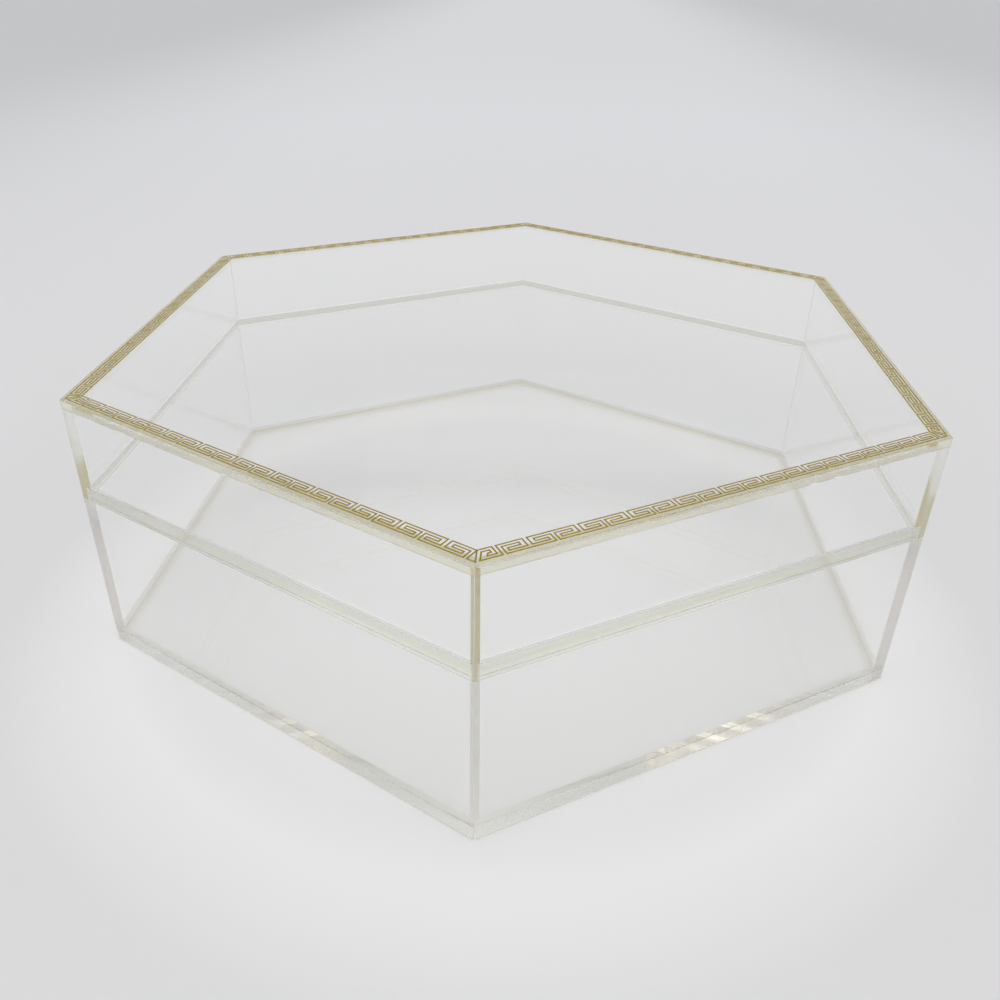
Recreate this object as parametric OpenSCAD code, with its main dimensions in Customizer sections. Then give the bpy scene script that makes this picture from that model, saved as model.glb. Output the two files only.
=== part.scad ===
// Hexagonal clear acrylic box for cards, with a lift-off lid.
// Flat sheets are cut, mitred and bonded into two shells: a base of six walls
// on a floor, and a lid of six walls under a top plate with a gold key border.
// The lid's skirt drops over a tongue milled along the rim of the base walls.
// Origin: centre of the underside. +Z up. One corner points towards -Y.

/* [Body] */
// Width over two opposite corners
body_w = 320; // [180:1:420]
// Height of the base, underside to rim
base_h = 60; // [30:1:120]
// Height of the lid, rim to the top plate's upper face
lid_h = 36; // [16:1:80]

/* [Sheets] */
// Thickness of the base's floor
floor_t = 5; // [3:0.5:8]
// Thickness of the six base walls
base_wall_t = 5; // [4:0.5:8]
// Thickness of the six lid walls
lid_wall_t = 5; // [4:0.5:8]
// Thickness of the lid's top plate
top_t = 3; // [2:0.5:6]

/* [Lid seat] */
// Height of the tongue above the base's rim
tongue_h = 4; // [2:0.5:8]
// Thickness of the skirt that hangs outside the tongue
skirt_t = 2.5; // [1.5:0.25:3]
// Sideways play between the tongue and the skirt
side_play = 0.25; // [0.2:0.05:0.6]
// Play above the tongue when the lid is down
top_play = 0.2; // [0.1:0.1:1]

/* [Key border] */
// Width of the gold line
line_w = 0.45; // [0.3:0.05:0.7]
// Thickness of the gold line
foil_t = 0.1; // [0.06:0.02:0.3]
// From the plate's edge to the middle of the outermost line
border_inset = 1.55; // [0.8:0.05:6]
// Distance between the middles of neighbouring lines
line_pitch = 1.08; // [0.9:0.02:1.3]
// Length of one repeat of the key pattern
key_l = 14.72; // [12:0.02:22]
// Width of the arm that each hook folds back along
arm_w = 1.18; // [1:0.02:1.6]
// Space between a hook's stem and its folded end
turn_w = 1.4; // [1:0.02:1.8]
// Width of the slot between two facing hooks
slot_w = 1.26; // [1:0.02:2]

/* [Hidden] */

SIDES = 6;
turn_step = 360 / SIDES;
// Angle between a mitre and the square across its side
mitre = turn_step / 2;
// Direction that the front right side faces; the others follow anticlockwise
first_side = -60;
flat_r = body_w / 2 * cos(mitre);
side_l = body_w * sin(mitre);
total_h = base_h + lid_h;

// The border's line runs on five rows, from row 0 outside to row 4 inside
last_row = 4;
// Along a side, the line's gap is one line_pitch and the rest is its two hooks
key_w = key_l - line_pitch;
stem = (key_w - slot_w) / 2;
hook = stem - turn_w;
// Spacing along the side of lines that run beside the mitre
slant = line_pitch / cos(mitre);
corner_gap = 2.5 * slant;
// Shortest corner piece: its slanted lines, then three upright ones
corner_min = mitre_s(2) + corner_gap + 3.5 * line_pitch;
keys = floor((side_l - mitre_s(last_row) - corner_min) / key_l);
first_key = side_l - mitre_s(last_row) - keys * key_l;
// Row and place of each bend in the first half of a key
half_key = [
    [stem, last_row],
    [stem, 1],
    [arm_w, 1],
    [arm_w, 2],
    [hook, 2],
    [hook, 3],
    [0, 3],
    [0, 0]
];

acrylic = [0.86, 0.88, 0.84, 0.35];
gold = [0.72, 0.6, 0.3];

// ---- The key pattern, as points [along the side, in from its edge] ----

// Distance of a row from the plate's edge
function row(i) = border_inset + i * line_pitch;

// A place on a row
function at(s, i) = [s, row(i)];

// Where a row meets the mitre at the start of a side
function mitre_s(i) = row(i) * tan(mitre);

// A place on a row, measured from that mitre
function from_mitre(gap, i) = at(mitre_s(i) + gap, i);

// Corner piece: folds back beside the mitre and ends in a full upright
function corner_piece() = [
    from_mitre(0, last_row),
    at(first_key - 2 * line_pitch, last_row),
    at(first_key - 2 * line_pitch, 1),
    from_mitre(corner_gap, 1),
    from_mitre(corner_gap, 2),
    at(first_key - 3 * line_pitch, 2),
    at(first_key - 3 * line_pitch, 3),
    from_mitre(slant, 3),
    from_mitre(slant, 0),
    at(first_key - line_pitch, 0),
    at(first_key - line_pitch, last_row)
];

// One repeat: a hook, and its mirror image
function one_key(s) = concat(
    [for (p = half_key) at(s + p[0], p[1])],
    [for (i = [len(half_key) - 1 : -1 : 0]) at(s + key_w - half_key[i][0], half_key[i][1])]
);

function all_keys() = [for (k = [0 : keys - 1]) each one_key(first_key + k * key_l)];

// Where the line reaches the mitre at the end of a side
function end_mitre(i) = at(side_l - mitre_s(i), i);

// The line of one side, to just before its outer corner
function side_line() = concat(
    corner_piece(),
    all_keys(),
    [end_mitre(last_row), at(side_l - mitre_s(last_row), 0), at(side_l - mitre_s(2), 0)]
);

// The line round the outer corner and up the mitre to the next side
function corner_line() = [at(side_l - mitre_s(3), 0), end_mitre(0), end_mitre(last_row)];

// ---- A line of even width along points ----

function unit(v) = v / norm(v);

function left_of(v) = [-v[1], v[0]];

// Sideways step at a bend that keeps the line's width on both of its runs
function bend_step(a, b) = (left_of(a) + left_of(b)) / (1 + a * b);

function step_at(points, i) =
    i == 0 ? left_of(unit(points[1] - points[0]))
    : i == len(points) - 1 ? left_of(unit(points[i] - points[i - 1]))
    : bend_step(unit(points[i] - points[i - 1]), unit(points[i + 1] - points[i]));

module line_along(points, width) {
    last = len(points) - 1;
    polygon(concat(
        [for (i = [0 : last]) points[i] + step_at(points, i) * width / 2],
        [for (i = [last : -1 : 0]) points[i] - step_at(points, i) * width / 2]
    ));
}

// ---- Placing on the hexagon ----

// Turns its children, drawn facing +X, to one side of the hexagon
module on_side(side) {
    rotate([0, 0, first_side + side * turn_step])
        children();
}

// Hexagonal sheet, flush with the outside of the walls
module hexagon_sheet(thickness) {
    rotate([0, 0, first_side + mitre])
        linear_extrude(thickness)
            circle(r = body_w / 2, $fn = SIDES);
}

// The hexagon's share that lies behind one side
module sector() {
    polygon([[0, 0], [flat_r, -side_l / 2], [flat_r, side_l / 2]]);
}

// Wall with both ends mitred. Its profile's points are [in from the outside, height].
module mitred_wall(profile) {
    intersection() {
        translate([flat_r, side_l / 2, 0])
            rotate([90, 0, 0])
                linear_extrude(side_l)
                    polygon([for (p = profile) [-p[0], p[1]]]);
        linear_extrude(total_h)
            sector();
    }
}

// ---- Base ----

module floor_plate() {
    color(acrylic)
        hexagon_sheet(floor_t);
}

// Stands on the floor; its inner half rises past the rim as the tongue
module base_wall(side) {
    tongue_at = skirt_t + side_play;
    color(acrylic)
        on_side(side)
            mitred_wall([
                [0, floor_t],
                [base_wall_t, floor_t],
                [base_wall_t, base_h + tongue_h],
                [tongue_at, base_h + tongue_h],
                [tongue_at, base_h],
                [0, base_h]
            ]);
}

// ---- Lid ----

module top_plate() {
    color(acrylic)
        translate([0, 0, total_h - top_t])
            hexagon_sheet(top_t);
}

// Hangs from the top plate; its outer half reaches the rim as the skirt
module lid_wall(side) {
    step_z = base_h + tongue_h + top_play;
    color(acrylic)
        on_side(side)
            mitred_wall([
                [0, base_h],
                [skirt_t, base_h],
                [skirt_t, step_z],
                [lid_wall_t, step_z],
                [lid_wall_t, total_h - top_t],
                [0, total_h - top_t]
            ]);
}

// One side of the closed gold line on the top plate, with the mitre line at its end.
// Each run ends on the far edge of its mitre line, where the next run begins.
module key_border(side) {
    color(gold)
        translate([0, 0, total_h])
            linear_extrude(foil_t)
                on_side(side)
                    intersection() {
                        translate([flat_r, -side_l / 2])
                            mirror([1, 0])
                                key_line();
                        translate([0, line_w / 2 / cos(mitre)])
                            sector();
                    }
}

// The line itself; x is in from the edge and y runs along the side
module key_line() {
    line_along([for (p = side_line()) [p[1], p[0]]], line_w);
    line_along([for (p = corner_line()) [p[1], p[0]]], line_w);
}

floor_plate();
base_wall(0);  // base_wall_front_right
base_wall(1);  // base_wall_right
base_wall(2);  // base_wall_back_right
base_wall(3);  // base_wall_back_left
base_wall(4);  // base_wall_left
base_wall(5);  // base_wall_front_left
top_plate();
lid_wall(0);  // lid_wall_front_right
lid_wall(1);  // lid_wall_right
lid_wall(2);  // lid_wall_back_right
lid_wall(3);  // lid_wall_back_left
lid_wall(4);  // lid_wall_left
lid_wall(5);  // lid_wall_front_left
key_border(0);  // key_border_front_right
key_border(1);  // key_border_right
key_border(2);  // key_border_back_right
key_border(3);  // key_border_back_left
key_border(4);  // key_border_left
key_border(5);  // key_border_front_left
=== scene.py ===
"""Looks of a hexagonal card box: clear acrylic sheets, their bonded joints and a gold key line.

Every size is in metres. A piece is drawn in the plan of one side of the hexagon, as distance in
from the outside face, distance along the side from its start corner, and height, and is then
turned to its side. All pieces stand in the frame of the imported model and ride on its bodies.
"""

import logging
import math
from dataclasses import dataclass
from enum import Enum, IntEnum

import bpy
import numpy as np
from mathutils import Matrix, Vector

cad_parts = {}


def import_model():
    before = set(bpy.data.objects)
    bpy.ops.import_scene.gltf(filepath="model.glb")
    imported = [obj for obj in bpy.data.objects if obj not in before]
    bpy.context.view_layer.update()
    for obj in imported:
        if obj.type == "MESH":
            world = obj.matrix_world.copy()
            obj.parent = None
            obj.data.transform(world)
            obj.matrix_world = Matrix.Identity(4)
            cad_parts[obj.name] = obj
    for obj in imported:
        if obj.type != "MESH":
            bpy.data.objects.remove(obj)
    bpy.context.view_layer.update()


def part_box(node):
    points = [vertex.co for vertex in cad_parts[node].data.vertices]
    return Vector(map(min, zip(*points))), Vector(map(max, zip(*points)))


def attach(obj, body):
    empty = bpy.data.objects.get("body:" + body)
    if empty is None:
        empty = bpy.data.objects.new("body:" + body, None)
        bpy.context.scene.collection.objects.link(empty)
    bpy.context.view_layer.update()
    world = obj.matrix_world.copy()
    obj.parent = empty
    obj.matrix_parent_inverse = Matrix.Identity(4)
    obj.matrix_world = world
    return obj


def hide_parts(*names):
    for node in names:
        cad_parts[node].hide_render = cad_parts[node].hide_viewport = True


Colour = tuple[float, float, float, float]
Tone = tuple[float, float, float]
Place = tuple[float, float, float]
Stops = tuple[tuple[float, Tone], ...]
Placed = list[tuple[bpy.types.Object, str]]

LOG = logging.getLogger("card_box")
MM = 0.001
SIDES = 6
MITRE = math.pi / SIDES
# Where a Mix node in colour mode has its two colours and its result
MIX_PALE, MIX_DEEP, MIX_RESULT = 6, 7, 2


class Side(Enum):
    """The six sides of the box, anticlockwise from the one right of the front corner."""

    FRONT_RIGHT = 0
    RIGHT = 1
    BACK_RIGHT = 2
    BACK_LEFT = 3
    LEFT = 4
    FRONT_LEFT = 5

    def node(self, piece: str) -> str:
        """Name of a piece on this side."""
        return f"{piece}_{self.name.lower()}"

    @property
    def facing(self) -> float:
        """Direction that the side faces, in radians from +X."""
        return -2 * MITRE + self.value * 2 * MITRE


class Skin(IntEnum):
    """What a face of a sheet is: its material slot on the piece."""

    POLISHED = 0
    LID_BOND = 1
    SAWN = 2
    PLATE_BOND = 3
    BASE_BOND = 4


# ---------------------------------------------------------------------------------------------
# Shapes
# ---------------------------------------------------------------------------------------------


@dataclass(frozen=True)
class HexagonPlan:
    """Plan of the box, with one corner towards -Y.

    Args:
        flat_r: distance from the centre to a side's outside face.
    """

    flat_r: float

    @property
    def side_l(self) -> float:
        """Length of a side between its two corners."""
        return 2 * self.flat_r * math.tan(MITRE)

    def place(self, side: Side, local: np.ndarray) -> np.ndarray:
        """Turns points from a side's own plan into the frame.

        Args:
            side: the side that they belong to.
            local: points whose last axis is distance in, distance along and height.

        Returns:
            An array of the same shape with x, y and z.
        """
        c, s = math.cos(side.facing), math.sin(side.facing)
        out = self.flat_r - local[..., 0]
        along = local[..., 1] - self.side_l / 2
        return np.stack([out * c - along * s, out * s + along * c, local[..., 2]], -1)


@dataclass(frozen=True)
class Outline:
    """A closed outline with square corners, each with its own small round.

    Args:
        points: corners as (distance in, height).
        rounds: radius at each corner.
        skins: what the edge that leaves each corner is.
        steps: number of straight steps in a round.
    """

    points: tuple[tuple[float, float], ...]
    rounds: tuple[float, ...]
    skins: tuple[Skin, ...]
    steps: int = 3

    def rounded(self) -> tuple[np.ndarray, np.ndarray]:
        """Puts quarter circles in the corners.

        The centre is corner + r (a + b), where a and b point along the two edges, and each point
        is centre - r (b cos t + a sin t).

        Returns:
            The points, and the skin of the edge that leaves each one.
        """
        p = np.array(self.points)
        a = np.roll(p, 1, 0) - p
        b = np.roll(p, -1, 0) - p
        a /= np.linalg.norm(a, axis=1, keepdims=True)
        b /= np.linalg.norm(b, axis=1, keepdims=True)
        r = np.array(self.rounds)[:, None, None]
        t = np.linspace(0, math.pi / 2, self.steps + 1)[None, :, None]
        centre = p[:, None] + r * (a + b)[:, None]
        arcs = centre - r * (b[:, None] * np.cos(t) + a[:, None] * np.sin(t))
        skins = np.repeat(np.array(self.skins)[:, None], self.steps + 1, 1)
        return arcs.reshape(-1, 2), skins.reshape(-1)


def loft_volume(rings: np.ndarray, quads: np.ndarray) -> float:
    """Six times the signed volume of a closed loft, as a sum of triple products.

    Args:
        rings: array of ring, point on the ring, and x, y, z.
        quads: point numbers of the faces between the rings.

    Returns:
        A number above 0 if the faces point outwards.
    """
    a, b, c, d = (rings.reshape(-1, 3)[quads[:, i]] for i in range(4))
    volume = np.einsum("ij,ij->", a, np.cross(b, c) + np.cross(c, d))
    for ring, sign in ((rings[0], -1), (rings[-1], 1)):
        fan = np.cross(ring[1:-1] - ring[0], ring[2:] - ring[0])
        volume += sign * (fan @ ring[0]).sum()
    return float(volume)


def closed_loft(
    rings: np.ndarray, skins: np.ndarray, caps: tuple[int, int]
) -> tuple[np.ndarray, list, list[int]]:
    """Skins a grid of closed rings and closes both of its ends with one face.

    Args:
        rings: array of ring, point on the ring, and x, y, z.
        skins: slot of the face between a ring and the next, for each point.
        caps: slots of the first and the last face.

    Returns:
        Points, faces and slots, with the faces turned outwards.
    """
    m, n, _ = rings.shape
    index = np.arange(m * n).reshape(m, n)
    beside = np.roll(index, -1, 1)
    quads = np.stack([index[:-1], beside[:-1], beside[1:], index[1:]], -1).reshape(-1, 4)
    faces = [list(index[0][::-1])] + quads.tolist() + [list(index[-1])]
    if loft_volume(rings, quads) < 0:
        faces = [face[::-1] for face in faces]
    between = np.broadcast_to(skins, (m - 1, n)).reshape(-1).tolist()
    return rings.reshape(-1, 3), faces, [int(caps[0])] + between + [int(caps[1])]


def make_piece(name: str, verts: np.ndarray, faces: list, slots: list[int],
               materials: list[bpy.types.Material]) -> bpy.types.Object:
    """Puts a mesh into the scene.

    Args:
        name: name of the piece.
        verts: points in the frame, in metres.
        faces: lists of point numbers.
        slots: material slot of each face.
        materials: the piece's materials, in the order of their slots.

    Returns:
        The new object, at the origin.
    """
    mesh = bpy.data.meshes.new(name)
    mesh.from_pydata(verts, [], faces)
    mesh.polygons.foreach_set("material_index", slots)
    for material in materials:
        mesh.materials.append(material)
    mesh.update()
    piece = bpy.data.objects.new(name, mesh)
    bpy.context.scene.collection.objects.link(piece)
    return piece


# ---------------------------------------------------------------------------------------------
# Nodes
# ---------------------------------------------------------------------------------------------


class Nodes:
    """A node tree, with short ways to add nodes and to link them."""

    def __init__(self, tree: bpy.types.NodeTree) -> None:
        """Takes the tree of a material, a group or a world."""
        self.tree = tree

    def fill(self, socket: bpy.types.NodeSocket, value: object) -> None:
        """Sets a socket, or links it.

        Args:
            socket: the socket.
            value: a number or a colour, or an output of another node.
        """
        if isinstance(value, bpy.types.NodeSocket):
            self.tree.links.new(value, socket)
        else:
            socket.default_value = value

    def add(self, kind: str, *feeds: object, **values: object) -> bpy.types.Node:
        """Adds a node.

        Args:
            kind: type of the node.
            feeds: what its first sockets take, in order.
            values: its settings, in small letters, and what its other sockets take, by their
                names with _ for a space.

        Returns:
            The node.
        """
        node = self.tree.nodes.new(kind)
        for key in [key for key in values if key[0].islower()]:
            setattr(node, key, values.pop(key))
        for key, value in values.items():
            self.fill(node.inputs[key.replace("_", " ")], value)
        for socket, value in zip(node.inputs, feeds):
            self.fill(socket, value)
        return node

    def math(self, operation: str, *values: object) -> bpy.types.NodeSocket:
        """Works out one operation on values."""
        return self.add("ShaderNodeMath", *values, operation=operation).outputs["Value"]

    def spread(self, value: object, start: float = 0.0, end: float = 1.0, first: object = 0.0,
               last: object = 1.0, **settings: object) -> bpy.types.NodeSocket:
        """Maps the range from start to end onto the one from first to last, held at both ends.

        Args:
            value: what is mapped.
            start: value at which the result is first.
            end: value at which the result is last.
            first: result at the start.
            last: result at the end.
            settings: other settings of the node.

        Returns:
            The result.
        """
        node = self.add("ShaderNodeMapRange", Value=value, From_Min=start, From_Max=end,
                        To_Min=first, To_Max=last, **settings)
        return node.outputs["Result"]

    def ramp(self, value: bpy.types.NodeSocket, stops: Stops) -> bpy.types.NodeSocket:
        """Turns a value into a colour.

        Args:
            value: from 0 to 1.
            stops: pairs of value and colour, in order.

        Returns:
            The colour, which changes evenly between the stops.
        """
        node = self.add("ShaderNodeValToRGB", value)
        elements = node.color_ramp.elements
        for place, _ in stops[2:]:
            elements.new(place)
        for element, (place, tone) in zip(elements, stops):
            element.position = place
            element.color = (*tone, 1.0)
        return node.outputs["Color"]

    def clouded(self, mottle: bpy.types.NodeTree, pale: Colour, deep: Colour,
                **values: object) -> bpy.types.NodeSocket:
        """Clouds one colour with another.

        Args:
            mottle: the mottle group.
            pale: colour where the mottle's mask is 0.
            deep: colour where it is 1.
            values: what the group's sockets take.

        Returns:
            The mixed colour.
        """
        mask = self.add("ShaderNodeGroup", node_tree=mottle, **values).outputs["Mask"]
        mix = self.add("ShaderNodeMix", data_type="RGBA", Factor=mask)
        self.fill(mix.inputs[MIX_PALE], pale)
        self.fill(mix.inputs[MIX_DEEP], deep)
        return mix.outputs[MIX_RESULT]


class Shader(Nodes):
    """The nodes of a new material."""

    def __init__(self, name: str) -> None:
        """Starts the material, with its output alone.

        Args:
            name: name of the material.
        """
        self.material = bpy.data.materials.new(name)
        self.material.use_nodes = True
        super().__init__(self.material.node_tree)
        self.tree.nodes.clear()
        self.output = self.add("ShaderNodeOutputMaterial")

    def surface(self, node: bpy.types.Node) -> bpy.types.Material:
        """Finishes the material.

        Args:
            node: the node that its surface takes.

        Returns:
            The material.
        """
        self.fill(self.output.inputs["Surface"], node.outputs[0])
        return self.material


def start_group(
    name: str, inputs: dict[str, float], outputs: dict[str, str]
) -> tuple[Nodes, bpy.types.NodeOutputs, bpy.types.NodeInputs]:
    """Starts a shader node group.

    Args:
        name: name of the group.
        inputs: number sockets and their usual values.
        outputs: output sockets and their kinds.

    Returns:
        The group's nodes, what it is given by name, and the sockets of its results by name.
    """
    tree = bpy.data.node_groups.new(name, "ShaderNodeTree")
    for key, value in inputs.items():
        socket = tree.interface.new_socket(key, in_out="INPUT", socket_type="NodeSocketFloat")
        socket.default_value = value
    for key, kind in outputs.items():
        tree.interface.new_socket(key, in_out="OUTPUT", socket_type=kind)
    given = tree.nodes.new("NodeGroupInput").outputs
    return Nodes(tree), given, tree.nodes.new("NodeGroupOutput").inputs


def handling_group() -> bpy.types.NodeTree:
    """Marks of handling on a polished sheet: a roughness that rises a little along fine hairlines
    and in soft smudges, and a normal that wavers as a cast sheet's face does.

    Returns:
        The group.
    """
    n, given, result = start_group(
        "handling_marks",
        {"Scale": 60.0, "Smooth": 0.0, "Marked": 0.03, "Waver": 0.02},
        {"Roughness": "NodeSocketFloat", "Normal": "NodeSocketVector"},
    )
    place = n.add("ShaderNodeTexCoord").outputs["Object"]
    smudge = n.add("ShaderNodeTexNoise", Vector=place, Scale=given["Scale"], Detail=3.0,
                   Roughness=0.55)
    hair = n.add("ShaderNodeTexWave", Vector=place, Scale=25.0, Distortion=9.0, Detail=3.0,
                 Detail_Scale=0.6)
    hairlines = n.spread(hair.outputs["Fac"], start=0.985, end=1.0, last=0.6)
    smudges = n.spread(smudge.outputs["Fac"], start=0.5, end=0.8)
    marks = n.math("MAXIMUM", hairlines, smudges)
    roughness = n.spread(marks, first=given["Smooth"], last=given["Marked"])
    wave = n.add("ShaderNodeTexNoise", Vector=place, Scale=9.0, Detail=1.0)
    bump = n.add("ShaderNodeBump", Strength=given["Waver"], Distance=1 * MM,
                 Height=wave.outputs["Fac"])
    n.fill(result["Roughness"], roughness)
    n.fill(result["Normal"], bump.outputs["Normal"])
    return n.tree


def mottle_group() -> bpy.types.NodeTree:
    """Mottling of a cement film or a metal line: a mask of clouds with small specks in it.

    Returns:
        The group.
    """
    n, given, result = start_group(
        "mottle", {"Scale": 300.0, "Specks": 0.25}, {"Mask": "NodeSocketFloat"})
    place = n.add("ShaderNodeTexCoord").outputs["Object"]
    cloud = n.add("ShaderNodeTexNoise", Vector=place, Scale=given["Scale"], Detail=4.0,
                  Roughness=0.6)
    cell = n.add("ShaderNodeTexVoronoi", Vector=place, Scale=given["Scale"])
    speck = n.spread(cell.outputs["Distance"], start=0.12, end=0.2, first=1.0, last=0.0)
    clouds = n.spread(cloud.outputs["Fac"], start=0.35, end=0.7)
    specks = n.math("MULTIPLY", speck, given["Specks"])
    n.fill(result["Mask"], n.math("MAXIMUM", clouds, specks))
    return n.tree


# ---------------------------------------------------------------------------------------------
# Finishes
# ---------------------------------------------------------------------------------------------


@dataclass(frozen=True)
class ClearAcrylic:
    """Face of a clear acrylic sheet, polished unless it is said to be rougher.

    Args:
        handling: the group of handling marks.
        name: name of the material.
        tint: colour of light that crosses the face.
        ior: refractive index.
        smooth: roughness where nothing marks the face.
        marked: roughness in a hairline or a smudge.
        waver: strength of the face's slow waves.
        depth_tint: colour that light turns towards inside the sheet.
        depth: how fast it does so, for each metre.
    """

    handling: bpy.types.NodeTree
    name: str = "clear_acrylic"
    tint: Colour = (0.995, 0.997, 0.993, 1.0)
    ior: float = 1.49
    smooth: float = 0.0
    marked: float = 0.012
    waver: float = 0.01
    depth_tint: Colour = (0.90, 0.90, 0.78, 1.0)
    depth: float = 0.6

    def build(self) -> bpy.types.Material:
        """Makes the material.

        Returns:
            The material.
        """
        s = Shader(self.name)
        marks = s.add("ShaderNodeGroup", node_tree=self.handling, Smooth=self.smooth,
                      Marked=self.marked, Waver=self.waver)
        glass = s.add("ShaderNodeBsdfPrincipled", Base_Color=self.tint, IOR=self.ior,
                      Transmission_Weight=1.0, Roughness=marks.outputs["Roughness"],
                      Normal=marks.outputs["Normal"])
        inside = s.add("ShaderNodeVolumeAbsorption", Color=self.depth_tint, Density=self.depth)
        s.fill(s.output.inputs["Volume"], inside.outputs["Volume"])
        return s.surface(glass)


@dataclass(frozen=True)
class CementFilm:
    """Face that is bonded to another sheet. Most light goes straight on, and the film spreads
    the rest.

    Args:
        mottle: the mottle group.
        name: name of the material.
        pale: colour of light that crosses the film.
        deep: colour of light that crosses it where it is thick.
        clear_share: share of the light that goes on.
        haze: roughness of the film.
    """

    mottle: bpy.types.NodeTree
    name: str
    pale: Colour
    deep: Colour
    clear_share: float = 0.97
    haze: float = 0.5

    def build(self) -> bpy.types.Material:
        """Makes the material.

        Returns:
            The material.
        """
        s = Shader(self.name)
        film = s.add("ShaderNodeBsdfPrincipled", IOR=1.0, Roughness=self.haze,
                     Transmission_Weight=self.clear_share,
                     Base_Color=s.clouded(self.mottle, self.pale, self.deep))
        return s.surface(film)


@dataclass(frozen=True)
class GoldLine:
    """Thin gold line laid on the sheet.

    Args:
        mottle: the mottle group.
        name: name of the material.
        bright: its usual colour.
        dull: its colour where it is tarnished.
        roughness: roughness of the metal.
        varnish: share of the line under varnish.
        varnish_roughness: roughness of the varnish.
        grain: fineness of the tarnish.
        specks: strength of its specks.
    """

    mottle: bpy.types.NodeTree
    name: str
    bright: Colour
    dull: Colour
    roughness: float
    varnish: float
    varnish_roughness: float = 0.12
    grain: float = 900.0
    specks: float = 0.5

    def build(self) -> bpy.types.Material:
        """Makes the material.

        Returns:
            The material.
        """
        s = Shader(self.name)
        colour = s.clouded(self.mottle, self.bright, self.dull, Scale=self.grain,
                           Specks=self.specks)
        metal = s.add("ShaderNodeBsdfPrincipled", Base_Color=colour, Metallic=1.0,
                      Roughness=self.roughness, Coat_Weight=self.varnish,
                      Coat_Roughness=self.varnish_roughness)
        return s.surface(metal)


def sheet_finishes(mottle: bpy.types.NodeTree) -> list[bpy.types.Material]:
    """Makes the finishes of the sheets.

    Args:
        mottle: the mottle group.

    Returns:
        One material for each skin, in the order of their slots.
    """
    handling = handling_group()
    finishes = {
        Skin.POLISHED: ClearAcrylic(handling),
        Skin.LID_BOND: CementFilm(mottle, "cement_joint", pale=(0.988, 0.992, 0.984, 1.0),
                                  deep=(0.955, 0.962, 0.945, 1.0)),
        Skin.SAWN: ClearAcrylic(handling, "sawn_edge", tint=(0.985, 0.99, 0.97, 1.0),
                                smooth=0.08, marked=0.18, waver=0.02),
        # Painted reflection: the yellow in the plate's cement stands in for the golden glow that
        # the gold line above throws into the joint
        Skin.PLATE_BOND: CementFilm(mottle, "plate_cement", pale=(0.99, 0.976, 0.915, 1.0),
                                    deep=(0.97, 0.956, 0.875, 1.0)),
        Skin.BASE_BOND: CementFilm(mottle, "floor_cement", pale=(1.0, 0.993, 0.991, 1.0),
                                   deep=(0.982, 0.974, 0.975, 1.0)),
    }
    return [finishes[skin].build() for skin in Skin]


def gold_finishes(mottle: bpy.types.NodeTree) -> list[bpy.types.Material]:
    """Makes the finishes of the gold line.

    Args:
        mottle: the mottle group.

    Returns:
        The material of its crown, whose gold is darkened as painted shade for the dim light that
        it reflects, and that of its underside, a lighter copy of the same gold.
    """
    # Painted shade: the crown is a darker copy of the underside's gold, standing in for the dim
    # light that its metal reflects
    crown = GoldLine(mottle, "gold_line", bright=(0.45, 0.335, 0.024, 1.0),
                     dull=(0.31, 0.22, 0.012, 1.0), roughness=0.35, varnish=0.1)
    underside = GoldLine(mottle, "gold_underside", bright=(0.92, 0.80, 0.42, 1.0),
                         dull=(0.85, 0.71, 0.31, 1.0), roughness=0.25, varnish=0.0)
    return [crown.build(), underside.build()]


# ---------------------------------------------------------------------------------------------
# The box
# ---------------------------------------------------------------------------------------------


def dress(placed: Placed, body: str) -> None:
    """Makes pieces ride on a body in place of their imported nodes, and reports each one.

    Args:
        placed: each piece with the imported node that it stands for.
        body: the body.
    """
    for piece, node in placed:
        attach(piece, body)
        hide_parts(node)
        LOG.info("%s: %d faces for %s", piece.name, len(piece.data.polygons), node)


def wall_sizes(shell_wall: str) -> tuple[float, float, float]:
    """Measures the right one of six like walls, whose faces are square to X.

    Args:
        shell_wall: packed name of the walls, without their side.

    Returns:
        Their thickness, and the heights of their lower and upper edge.
    """
    low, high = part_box(Side.RIGHT.node(shell_wall))
    return high.x - low.x, low.z, high.z


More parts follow.
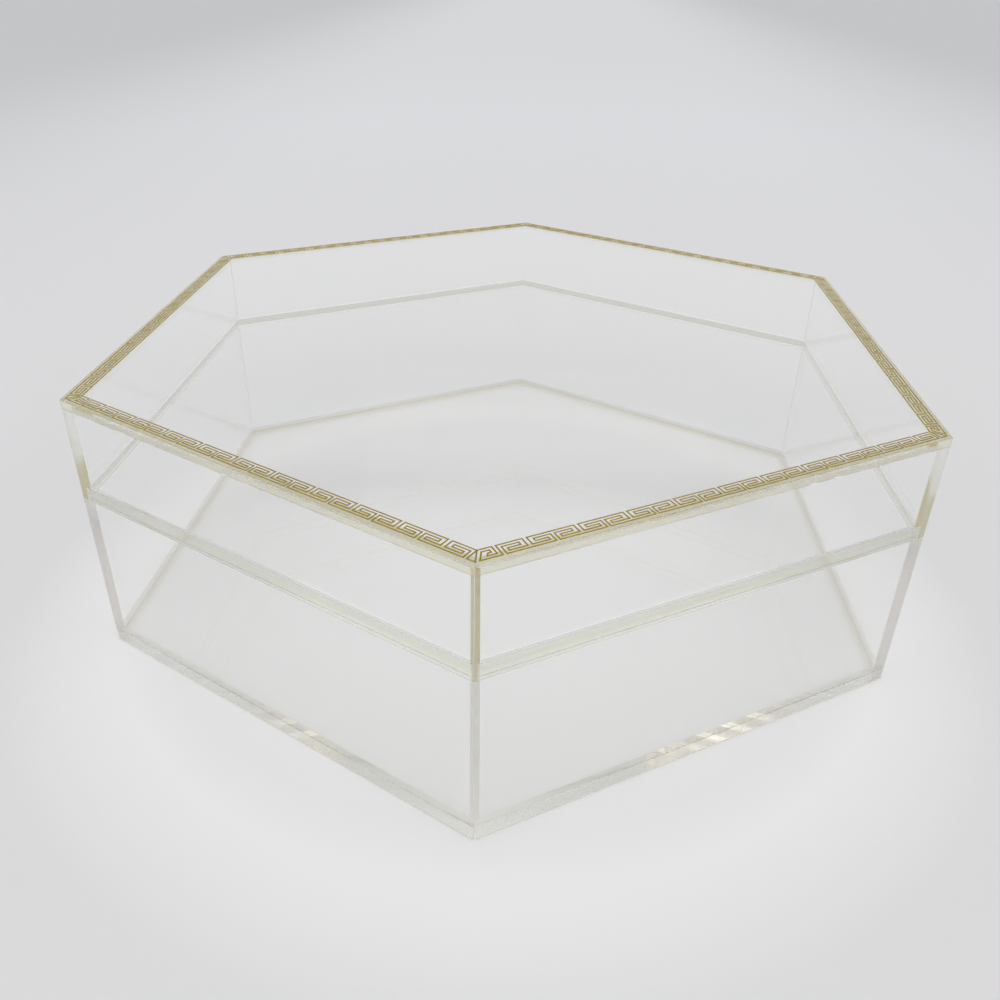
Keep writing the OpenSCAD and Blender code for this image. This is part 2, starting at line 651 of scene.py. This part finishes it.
@dataclass
class SheetWork:
    """What every sheet of the box shares: the plan, the finishes and the maker's small sizes.

    Args:
        plan: plan of the box.
        materials: the sheets' finishes, in the order of their slots.
        film: thickness of a cement film.
        arris: round on an edge of a wall.
        plate_arris: round on the rim of a floor sheet or a top plate.
        glued_round: round on an edge that is cemented.
        corner_round: round on the outside of a mitred corner.
        corner_steps: number of straight steps in such a round.
        rim_w: width of the outermost ring on a plate's face that nothing is bonded to.
    """

    plan: HexagonPlan
    materials: list[bpy.types.Material]
    film: float = 0.03 * MM
    arris: float = 0.05 * MM
    plate_arris: float = 0.2 * MM
    glued_round: float = 0.02 * MM
    corner_round: float = 0.35 * MM
    corner_steps: int = 3
    rim_w: float = 2 * MM

    def mitred_wall(self, side: Side, name: str, outline: Outline,
                    mitre_skin: Skin) -> bpy.types.Object:
        """Carries a wall's outline along its side between the two mitres.

        A point that lies t in from the outside meets the mitre at t tan 30. Near the corner, the
        outside face turns on a round of radius r: at angle a it lies r (1 - cos a) further in,
        and stops r sin(30 - a) / cos 30 short of the mitre, down to nothing on the mitre.

        Args:
            side: side of the hexagon.
            name: name of the piece.
            outline: section of the wall, as (distance in, height).
            mitre_skin: what its two mitred ends are.

        Returns:
            The piece, closed, with half the film's thickness left free at each mitre.
        """
        section, skins = outline.rounded()
        turn = np.linspace(MITRE, 0, self.corner_steps + 1)
        short = self.corner_round * np.sin(MITRE - turn) / math.cos(MITRE)
        sunk = self.corner_round * (1 - np.cos(turn))
        sunk, short = np.r_[sunk, sunk[::-1]], np.r_[short, short[::-1]]
        outer = section[None, :, 0] < self.corner_round
        t = section[None, :, 0] + np.where(outer, sunk[:, None], 0.0)
        gap = self.film / 2 / math.cos(MITRE)
        from_corner = t * math.tan(MITRE) + short[:, None] + gap
        far = np.arange(len(short))[:, None] >= len(short) // 2
        along = np.where(far, self.plan.side_l - from_corner, from_corner)
        height = np.broadcast_to(section[None, :, 1], t.shape)
        rings = self.plan.place(side, np.stack([t, along, height], -1))
        verts, faces, slots = closed_loft(rings, skins[None], (mitre_skin, mitre_skin))
        return make_piece(name, verts, faces, slots, self.materials)

    def hexagon_ring(self, inset: float, height: float) -> np.ndarray:
        """Draws one ring of a hexagonal sheet.

        Each corner is an arc of radius r round a centre that lies (flat - r) / cos 30 from the
        middle, and the sides are straight from one arc to the next.

        Args:
            inset: distance in from the outside.
            height: height of the ring.

        Returns:
            Points round the ring, anticlockwise.
        """
        r = max(self.corner_round - inset, self.glued_round)
        flat = self.plan.flat_r - inset
        turn = np.linspace(-MITRE, MITRE, 2 * self.corner_steps + 1)
        corner = -math.pi / 2 + 2 * MITRE * np.arange(SIDES)
        centre = (flat - r) / math.cos(MITRE)
        angle = corner[:, None] + turn[None]
        x = centre * np.cos(corner)[:, None] + r * np.cos(angle)
        y = centre * np.sin(corner)[:, None] + r * np.sin(angle)
        return np.stack([x, y, np.full_like(x, height)], -1).reshape(-1, 3)

    def hexagon_sheet(self, name: str, low: float, high: float, bonded_top: float = 0.0,
                      bonded_bottom: float = 0.0) -> bpy.types.Object:
        """Makes a hexagonal sheet from rings, bottom to top, with a round on both rims.

        At angle t, a rim's round lies a (1 - sin t) in from the outside and a (1 - cos t) from
        the face.

        Args:
            name: name of the piece.
            low: height of its lower face.
            high: height of its upper face.
            bonded_top: width of the strip of the upper face that the walls are bonded to, or 0.
            bonded_bottom: width of such a strip of the lower face, or 0.

        Returns:
            The piece, closed.
        """
        turn = np.linspace(0, math.pi / 2, self.corner_steps + 1)
        inset = self.plate_arris * (1 - np.sin(turn))
        drop = self.plate_arris * (1 - np.cos(turn))
        insets = np.r_[bonded_bottom or self.rim_w, inset, inset[::-1], bonded_top or self.rim_w]
        heights = np.r_[low, low + drop, (high - drop)[::-1], high]
        skins = np.full(len(insets) - 1, int(Skin.SAWN))
        skins[0] = Skin.PLATE_BOND if bonded_bottom else Skin.POLISHED
        skins[-1] = Skin.BASE_BOND if bonded_top else Skin.POLISHED
        rings = np.stack([self.hexagon_ring(t, z) for t, z in zip(insets, heights)])
        ends = (Skin.POLISHED, Skin.POLISHED)
        verts, faces, slots = closed_loft(rings, skins[:, None], ends)
        return make_piece(name, verts, faces, slots, self.materials)


@dataclass(frozen=True)
class Seat:
    """The lid's seat: its skirt stands on the rim of the base, outside the base's tongue.

    Args:
        rim: height of the rim.
        tongue_h: height of the tongue above the rim.
        skirt_t: thickness of the skirt.
        side_play: play between the skirt and the tongue.
        top_play: play above the tongue.
        rest_gap: what the skirt's sawn edge, never quite true, leaves open above the rim.
    """

    rim: float
    tongue_h: float
    skirt_t: float = 2.5 * MM
    side_play: float = 0.25 * MM
    top_play: float = 0.2 * MM
    rest_gap: float = 0.06 * MM


@dataclass
class Base:
    """The base: a floor sheet and six walls that stand on it.

    Args:
        work: the shared plan, finishes and small sizes.
        seat: the lid's seat.
        body: the body that it rides on.
        slot: the material slot that it takes; not used.
    """

    work: SheetWork
    seat: Seat
    body: str = "base"
    slot: str = "clear_acrylic"

    def floor(self) -> bpy.types.Object:
        """Makes the floor sheet.

        Returns:
            The piece.
        """
        low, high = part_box("floor_plate")
        wall_t, _, _ = wall_sizes("base_wall")
        return self.work.hexagon_sheet("floor_sheet", low.z, high.z - self.work.film / 2,
                                       bonded_top=wall_t)

    def wall(self, side: Side) -> bpy.types.Object:
        """Makes one wall, with the tongue along the inner half of its rim.

        Args:
            side: side of the hexagon.

        Returns:
            The piece.
        """
        t, low, high = wall_sizes("base_wall")
        foot = low + self.work.film / 2
        rim, tongue = self.seat.rim, self.seat.skirt_t + self.seat.side_play
        glued, free = self.work.glued_round, self.work.arris
        outline = Outline(
            points=((0, foot), (t, foot), (t, high), (tongue, high), (tongue, rim), (0, rim)),
            rounds=(glued, glued, free, free, free, free),
            skins=(Skin.BASE_BOND, Skin.POLISHED, Skin.SAWN, Skin.SAWN, Skin.SAWN,
                   Skin.POLISHED),
        )
        return self.work.mitred_wall(side, side.node("base_side"), outline, Skin.BASE_BOND)

    def build(self) -> None:
        """Makes and dresses the floor sheet and the walls."""
        placed = [(self.floor(), "floor_plate")]
        placed += [(self.wall(side), side.node("base_wall")) for side in Side]
        dress(placed, self.body)


@dataclass
class Lid:
    """The lid: a top plate and six walls that hang from it.

    Args:
        work: the shared plan, finishes and small sizes.
        seat: the lid's seat.
        body: the body that it rides on.
        slot: the material slot that it takes; not used.
    """

    work: SheetWork
    seat: Seat
    body: str = "lid"
    slot: str = "clear_acrylic"

    def plate(self) -> bpy.types.Object:
        """Makes the top plate.

        Returns:
            The piece.
        """
        low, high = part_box("top_plate")
        wall_t, _, _ = wall_sizes("lid_wall")
        return self.work.hexagon_sheet("lid_plate", low.z + self.work.film / 2, high.z,
                                       bonded_bottom=wall_t)

    def wall(self, side: Side) -> bpy.types.Object:
        """Makes one wall, whose outer half reaches down as the skirt.

        Args:
            side: side of the hexagon.

        Returns:
            The piece.
        """
        t, _, high = wall_sizes("lid_wall")
        top = high - self.work.film / 2
        foot = self.seat.rim + self.seat.rest_gap
        step = self.seat.rim + self.seat.tongue_h + self.seat.top_play
        skirt = self.seat.skirt_t
        glued, free = self.work.glued_round, self.work.arris
        outline = Outline(
            points=((0, foot), (skirt, foot), (skirt, step), (t, step), (t, top), (0, top)),
            rounds=(free, free, free, free, glued, glued),
            skins=(Skin.SAWN, Skin.SAWN, Skin.SAWN, Skin.POLISHED, Skin.PLATE_BOND,
                   Skin.POLISHED),
        )
        return self.work.mitred_wall(side, side.node("lid_side"), outline, Skin.LID_BOND)

    def build(self) -> None:
        """Makes and dresses the top plate and the walls."""
        placed = [(self.plate(), "top_plate")]
        placed += [(self.wall(side), side.node("lid_wall")) for side in Side]
        dress(placed, self.body)


@dataclass
class KeyBorder:
    """The gold key line on the top plate: one closed line, made in six runs from mitre to mitre.

    The line runs on rows side by side, from row 0 outside to the last row inside.

    Args:
        plan: plan of the box.
        materials: finishes of the line's crown and of its underside.
        top: height of the plate's upper face.
        peak: height of the line's crown.
        line_w: width of the line.
        inset: from the plate's edge to the middle of row 0.
        pitch: distance between neighbouring rows.
        key_l: length of one repeat.
        arm_w: width of the arm that each hook folds back along.
        turn_w: space between a hook's stem and its folded end.
        slot_w: width of the slot between two facing hooks.
        last_row: number of the inner row.
        fold_gap: from the mitre to the corner piece's fold, in slanted pitches.
        fold_room: least length of that fold, in pitches.
        sunk: how far the underside is pressed into the plate.
        crown_places: points of the section from side to side, in halves of the line's width.
        crown_heights: their heights, in shares of the crown's.
        body: the body that it rides on.
        slot: the material slot that it takes; not used.
    """

    plan: HexagonPlan
    materials: list[bpy.types.Material]
    top: float
    peak: float
    line_w: float = 0.45 * MM
    inset: float = 1.55 * MM
    pitch: float = 1.08 * MM
    key_l: float = 14.72 * MM
    arm_w: float = 1.18 * MM
    turn_w: float = 1.4 * MM
    slot_w: float = 1.26 * MM
    last_row: int = 4
    fold_gap: float = 2.5
    fold_room: float = 3.5
    sunk: float = 0.01 * MM
    crown_places: tuple[float, ...] = (-1.0, -1.0, -0.86, -0.5, 0.5, 0.86, 1.0, 1.0)
    crown_heights: tuple[float, ...] = (0.0, 0.35, 0.8, 1.0, 1.0, 0.8, 0.35, 0.0)
    body: str = "lid"
    slot: str = "gold_line"

    @property
    def slant(self) -> float:
        """Spacing along the side of lines that run beside the mitre."""
        return self.pitch / math.cos(MITRE)

    def row(self, i: float) -> float:
        """Distance of a row from the plate's edge."""
        return self.inset + i * self.pitch

    def mitre_s(self, i: float) -> float:
        """Where a row meets the mitre at the start of a side."""
        return self.row(i) * math.tan(MITRE)

    def one_key(self) -> np.ndarray:
        """Draws one repeat: a hook, and its mirror image.

        Returns:
            Bends as (distance along, row).
        """
        key_w = self.key_l - self.pitch
        stem = (key_w - self.slot_w) / 2
        hook = stem - self.turn_w
        half = np.array([(stem, self.last_row), (stem, 1), (self.arm_w, 1), (self.arm_w, 2),
                         (hook, 2), (hook, 3), (0, 3), (0, 0)])
        return np.concatenate([half, half[::-1] * (-1, 1) + (key_w, 0)])

    def corner_piece(self, first: float) -> np.ndarray:
        """Draws the piece that folds back beside the mitre and ends in a full upright.

        Args:
            first: where the first key starts.

        Returns:
            Bends as (distance along, row).
        """
        p, last = self.pitch, self.last_row
        slant, gap = self.slant, self.fold_gap * self.slant
        return np.array([
            (self.mitre_s(last), last), (first - 2 * p, last), (first - 2 * p, 1),
            (self.mitre_s(1) + gap, 1), (self.mitre_s(2) + gap, 2), (first - 3 * p, 2),
            (first - 3 * p, 3), (self.mitre_s(3) + slant, 3), (self.mitre_s(0) + slant, 0),
            (first - p, 0), (first - p, last),
        ])

    def run(self) -> np.ndarray:
        """Draws the line along one side: the corner piece, as many keys as fit, and the mitre.

        Returns:
            Bends as (distance in, distance along), from the inner end of one mitre to the
            inner end of the next.
        """
        last, side_l = self.last_row, self.plan.side_l
        gap = self.fold_gap * self.slant
        room = side_l - self.mitre_s(last)
        keys = int((room - self.mitre_s(2) - gap - self.fold_room * self.pitch) / self.key_l)
        first = room - keys * self.key_l
        starts = np.stack([first + self.key_l * np.arange(keys), np.zeros(keys)], -1)
        all_keys = self.one_key()[None] + starts[:, None]
        end = np.array([(room, last), (room, 0), (side_l - self.mitre_s(0), 0),
                        (side_l - self.mitre_s(last), last)])
        path = np.concatenate([self.corner_piece(first), all_keys.reshape(-1, 2), end])
        return np.stack([self.row(path[:, 1]), path[:, 0]], -1)

    def section(self) -> tuple[np.ndarray, np.ndarray]:
        """Draws the line's crowned section.

        Returns:
            Distances from the middle of the line, and heights.
        """
        u = np.array(self.crown_places) * (self.line_w / 2)
        z = self.top + np.array(self.crown_heights) * (self.peak - self.top)
        z[[0, -1]] -= self.sunk
        return u, z

    def side_run(self, side: Side) -> bpy.types.Object:
        """Carries the section along the line of one side.

        At a bend, a point at u from the middle of the line lies u (m + n) / (1 + m . n) from the
        bend, where m and n are the unit normals of the two stretches, so the width holds. The
        stretches past the two ends are the neighbouring sides' own, turned from this side's.

        Args:
            side: side of the hexagon.

        Returns:
            The piece, closed.
        """
        run = self.run()
        bends = self.plan.place(side, np.c_[run, np.zeros(len(run))])[:, :2]
        c, s = math.cos(2 * MITRE), math.sin(2 * MITRE)
        turn = np.array([[c, s], [-s, c]])
        path = np.concatenate([bends[-2:-1] @ turn.T, bends, bends[1:2] @ turn])
        step = np.diff(path, axis=0)
        step /= np.linalg.norm(step, axis=1, keepdims=True)
        normal = np.stack([-step[:, 1], step[:, 0]], -1)
        m, n = normal[:-1], normal[1:]
        bend = (m + n) / (1 + (m * n).sum(1, keepdims=True))
        u, z = self.section()
        flat = path[1:-1, None] + bend[:, None] * u[None, :, None]
        rings = np.concatenate([flat, np.broadcast_to(z, flat.shape[:2])[..., None]], -1)
        under = (np.arange(len(u)) == len(u) - 1).astype(int)
        verts, faces, slots = closed_loft(rings, under[None], (0, 0))
        return make_piece(side.node("key_line"), verts, faces, slots, self.materials)

    def build(self) -> None:
        """Makes and dresses the six runs."""
        placed = [(self.side_run(side), side.node("key_border")) for side in Side]
        dress(placed, self.body)


# ---------------------------------------------------------------------------------------------
# Studio
# ---------------------------------------------------------------------------------------------


@dataclass(frozen=True)
class Floor:
    """A wide round floor just under the box. Its paint is painted light: it is paler under and
    close round the box, a painted pool of the light that comes through the clear sheets, with
    painted rings of shade and of caustic light near the box's edge and a painted shadow just
    outside it.

    Args:
        gap: how far it lies under the box.
        radius: its radius.
        corners: number of its corners.
        light_pool_place: middle of the pale part.
        light_pool_reach: distance from there at which the tones end.
        painted_light_tones: colours from the middle outwards, over that distance.
        side_shade_start: distance to the left or right at which it starts to darken.
        side_shade_end: distance at which it is darkest.
        side_shade_dim: what is left of its colour there.
        roughness: roughness of the paint.
        shine: specular level of the paint.
    """

    gap: float = 0.2 * MM
    radius: float = 14.0
    corners: int = 96
    light_pool_place: Place = (0.0, -0.03, 0.0)
    light_pool_reach: float = 2.5
    # Painted light: the pale middle stands in for light through the clear sheets; the dip, the
    # bright ring and the darker stops beside them are painted shade and caustic light round the
    # box
    painted_light_tones: Stops = (
        (0.01, (0.92, 0.925, 0.935)), (0.03, (0.89, 0.89, 0.90)), (0.052, (0.84, 0.84, 0.85)),
        (0.059, (0.88, 0.88, 0.885)), (0.067, (0.83, 0.83, 0.84)), (0.075, (0.76, 0.765, 0.77)),
        (0.09, (0.755, 0.755, 0.76)), (0.46, (0.80, 0.81, 0.825)), (1.0, (0.79, 0.80, 0.81)),
    )
    # Painted shade: the floor darkens to the left and right, where less light falls
    side_shade_start: float = 0.25
    side_shade_end: float = 1.1
    side_shade_dim: float = 0.8
    roughness: float = 0.7
    shine: float = 0.2

    def paint(self) -> bpy.types.Material:
        """Makes the paint.

        Returns:
            The material.
        """
        s = Shader("studio_floor")
        place = s.add("ShaderNodeTexCoord").outputs["Object"]
        away = s.add("ShaderNodeVectorMath", place, self.light_pool_place, operation="DISTANCE")
        # Painted light: the pool, the rings and the shadow round the box, by distance from the
        # pool's middle
        tone = s.ramp(s.spread(away.outputs["Value"], end=self.light_pool_reach), self.painted_light_tones)
        parts = s.add("ShaderNodeSeparateXYZ", place)
        # Painted shade towards the left and right
        side_shade = s.spread(s.math("ABSOLUTE", parts.outputs["X"]), self.side_shade_start, self.side_shade_end,
                       first=1.0, last=self.side_shade_dim, interpolation_type="SMOOTHSTEP")
        colour = s.add("ShaderNodeVectorMath", tone, operation="SCALE", Scale=side_shade)
        return s.surface(s.add("ShaderNodeBsdfPrincipled", Base_Color=colour.outputs["Vector"],
                               Roughness=self.roughness, Specular_IOR_Level=self.shine))

    def build(self) -> None:
        """Makes the floor: a flat disc, its corners evenly spaced on a circle."""
        turn = np.linspace(0, 2 * math.pi, self.corners, endpoint=False)
        verts = np.stack([self.radius * np.cos(turn), self.radius * np.sin(turn),
                          np.full_like(turn, -self.gap)], -1)
        piece = make_piece("studio_floor", verts, [list(range(self.corners))], [0],
                           [self.paint()])


@dataclass(frozen=True)
class Backdrop:
    """Even light all round. The camera, glass and metal see pale shades of grey in its place.

    Args:
        sky: colour of the light.
        strength: strength of the light.
        shades: what is seen in its place, from the horizon to straight up, by the height of
            the direction.
    """

    sky: Colour = (0.85, 0.85, 0.86, 1.0)
    strength: float = 1.0
    shades: Stops = (
        (0.0, (0.58, 0.58, 0.59)), (0.12, (0.85, 0.85, 0.86)), (0.28, (0.80, 0.80, 0.81)),
        (0.46, (0.70, 0.70, 0.71)), (0.494, (0.48, 0.48, 0.49)), (0.53, (0.62, 0.62, 0.62)),
        (0.74, (0.60, 0.61, 0.60)), (0.86, (0.98, 0.98, 0.98)),
    )

    def build(self) -> None:
        """Makes the world."""
        world = bpy.data.worlds.new("studio")
        bpy.context.scene.world = world
        world.use_nodes = True
        n = Nodes(world.node_tree)
        n.tree.nodes.clear()
        rays = n.add("ShaderNodeLightPath").outputs
        mirrored = n.math("MAXIMUM", rays["Is Camera Ray"], rays["Is Glossy Ray"])
        seen = n.math("MAXIMUM", mirrored, rays["Is Transmission Ray"])
        direction = n.add("ShaderNodeTexCoord").outputs["Generated"]
        height = n.add("ShaderNodeSeparateXYZ", direction).outputs["Z"]
        light = n.add("ShaderNodeBackground", Color=self.sky, Strength=self.strength)
        back = n.add("ShaderNodeBackground", Color=n.ramp(height, self.shades), Strength=1.0)
        mix = n.add("ShaderNodeMixShader", seen, light.outputs[0], back.outputs[0])
        n.add("ShaderNodeOutputWorld", Surface=mix.outputs[0])


@dataclass(frozen=True)
class Softbox:
    """A square soft lamp that faces the box.

    Args:
        name: its name.
        place: where its middle is.
        size: its width.
        power: its power in watts.
        colour: colour of its light.
    """

    name: str
    place: Place
    size: float
    power: float
    colour: Tone = (1.0, 0.94, 0.925)

    def build(self, aim: Vector) -> None:
        """Makes the lamp.

        Args:
            aim: the place that it faces.
        """
        data = bpy.data.lights.new(self.name, "AREA")
        data.shape, data.size, data.energy = "SQUARE", self.size, self.power
        data.color = self.colour
        lamp = bpy.data.objects.new(self.name, data)
        bpy.context.scene.collection.objects.link(lamp)
        lamp.location = self.place
        facing = (aim - Vector(self.place)).to_track_quat("-Z", "Y")
        lamp.rotation_euler = facing.to_euler()


@dataclass(frozen=True)
class Camera:
    """The camera. Its distances are in shares of the hexagon's corner radius.

    Args:
        azimuth: direction that it looks from, in degrees anticlockwise from -Y.
        elevation: angle that it looks down at, in degrees.
        roll: turn about its own axis, in degrees.
        distance: distance from its target.
        target: what it looks at, from the middle of the lid's top.
        focal: focal length, in widths of the sensor.
        sensor: width of the sensor, in millimetres.
        near: distance at which its view starts, in metres.
        far: distance at which its view ends, in metres.
    """

    azimuth: float = 2.937
    elevation: float = 30.869
    roll: float = 1.151
    distance: float = 2.2941
    target: Place = (-0.0088, -0.1385, -0.4)
    focal: float = 0.9201
    sensor: float = 36.0
    near: float = 0.01
    far: float = 100.0

    def build(self, corner_r: float, top: float) -> None:
        """Makes the camera.

        From its target, it lies in the direction (sin az cos el, -cos az cos el, sin el).

        Args:
            corner_r: the hexagon's corner radius.
            top: height of the lid's top.
        """
        az, el, roll = (math.radians(v) for v in (self.azimuth, self.elevation, self.roll))
        back = np.array([math.sin(az) * math.cos(el), -math.cos(az) * math.cos(el), math.sin(el)])
        eye = (np.array(self.target) + back * self.distance) * corner_r
        eye[2] += top
        level = np.cross(-back, [0, 0, 1])
        level /= np.linalg.norm(level)
        upright = np.cross(level, -back)
        right = level * math.cos(roll) + upright * math.sin(roll)
        up = -level * math.sin(roll) + upright * math.cos(roll)
        matrix = np.eye(4)
        matrix[:3] = np.stack([right, up, back, eye], -1)
        data = bpy.data.cameras.new("camera")
        data.sensor_width = self.sensor
        data.lens = self.sensor * self.focal
        data.clip_start, data.clip_end = self.near, self.far
        camera = bpy.data.objects.new("camera", data)
        camera.matrix_world = Matrix(matrix.tolist())
        bpy.context.scene.collection.objects.link(camera)
        bpy.context.scene.camera = camera


@dataclass(frozen=True)
class Studio:
    """Pale floor, soft light and the camera.

    Args:
        corner_r: the hexagon's corner radius.
        top: height of the lid's top.
        softboxes: the lamps.
        clear_bounces: bounces of light through and off clear sheets, which carry it far.
        plain_bounces: bounces off plain surfaces.
    """

    corner_r: float
    top: float
    softboxes: tuple[Softbox, ...] = (
        Softbox("softbox_top", (0.0, -0.5, 1.6), size=1.4, power=1.6),
        Softbox("softbox_left", (-1.1, -0.62, 0.85), size=0.55, power=0.9),
        Softbox("softbox_right", (1.1, -0.62, 0.85), size=0.55, power=0.9),
    )
    clear_bounces: int = 128
    plain_bounces: int = 8

    def light_paths(self) -> None:
        """Lets light go through every sheet, with sharp reflections kept sharp."""
        cycles = bpy.context.scene.cycles
        cycles.max_bounces = self.clear_bounces
        cycles.transmission_bounces = self.clear_bounces
        cycles.glossy_bounces = self.clear_bounces
        cycles.diffuse_bounces = self.plain_bounces
        cycles.blur_glossy = 0.0

    def build(self) -> None:
        """Sets up the whole studio."""
        Floor().build()
        Backdrop().build()
        for softbox in self.softboxes:
            softbox.build(Vector((0, 0, self.top / 2)))
        Camera().build(self.corner_r, self.top)
        bpy.context.scene.view_settings.view_transform = "Standard"
        self.light_paths()


def main() -> None:
    """Builds the studio and the box, in order, and reports each piece."""
    logging.basicConfig(level=logging.INFO, format="%(message)s")
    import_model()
    plan = HexagonPlan(flat_r=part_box("floor_plate")[1].x)
    _, rim, _ = wall_sizes("lid_wall")
    _, _, tongue_top = wall_sizes("base_wall")
    plate_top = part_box("top_plate")[1].z
    line_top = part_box(Side.RIGHT.node("key_border"))[1].z
    Studio(corner_r=plan.side_l, top=plate_top).build()
    mottle = mottle_group()
    work = SheetWork(plan, sheet_finishes(mottle))
    seat = Seat(rim, tongue_h=tongue_top - rim)
    Base(work, seat).build()
    Lid(work, seat).build()
    KeyBorder(plan, gold_finishes(mottle), plate_top, line_top).build()


if __name__ == "__main__":
    main()
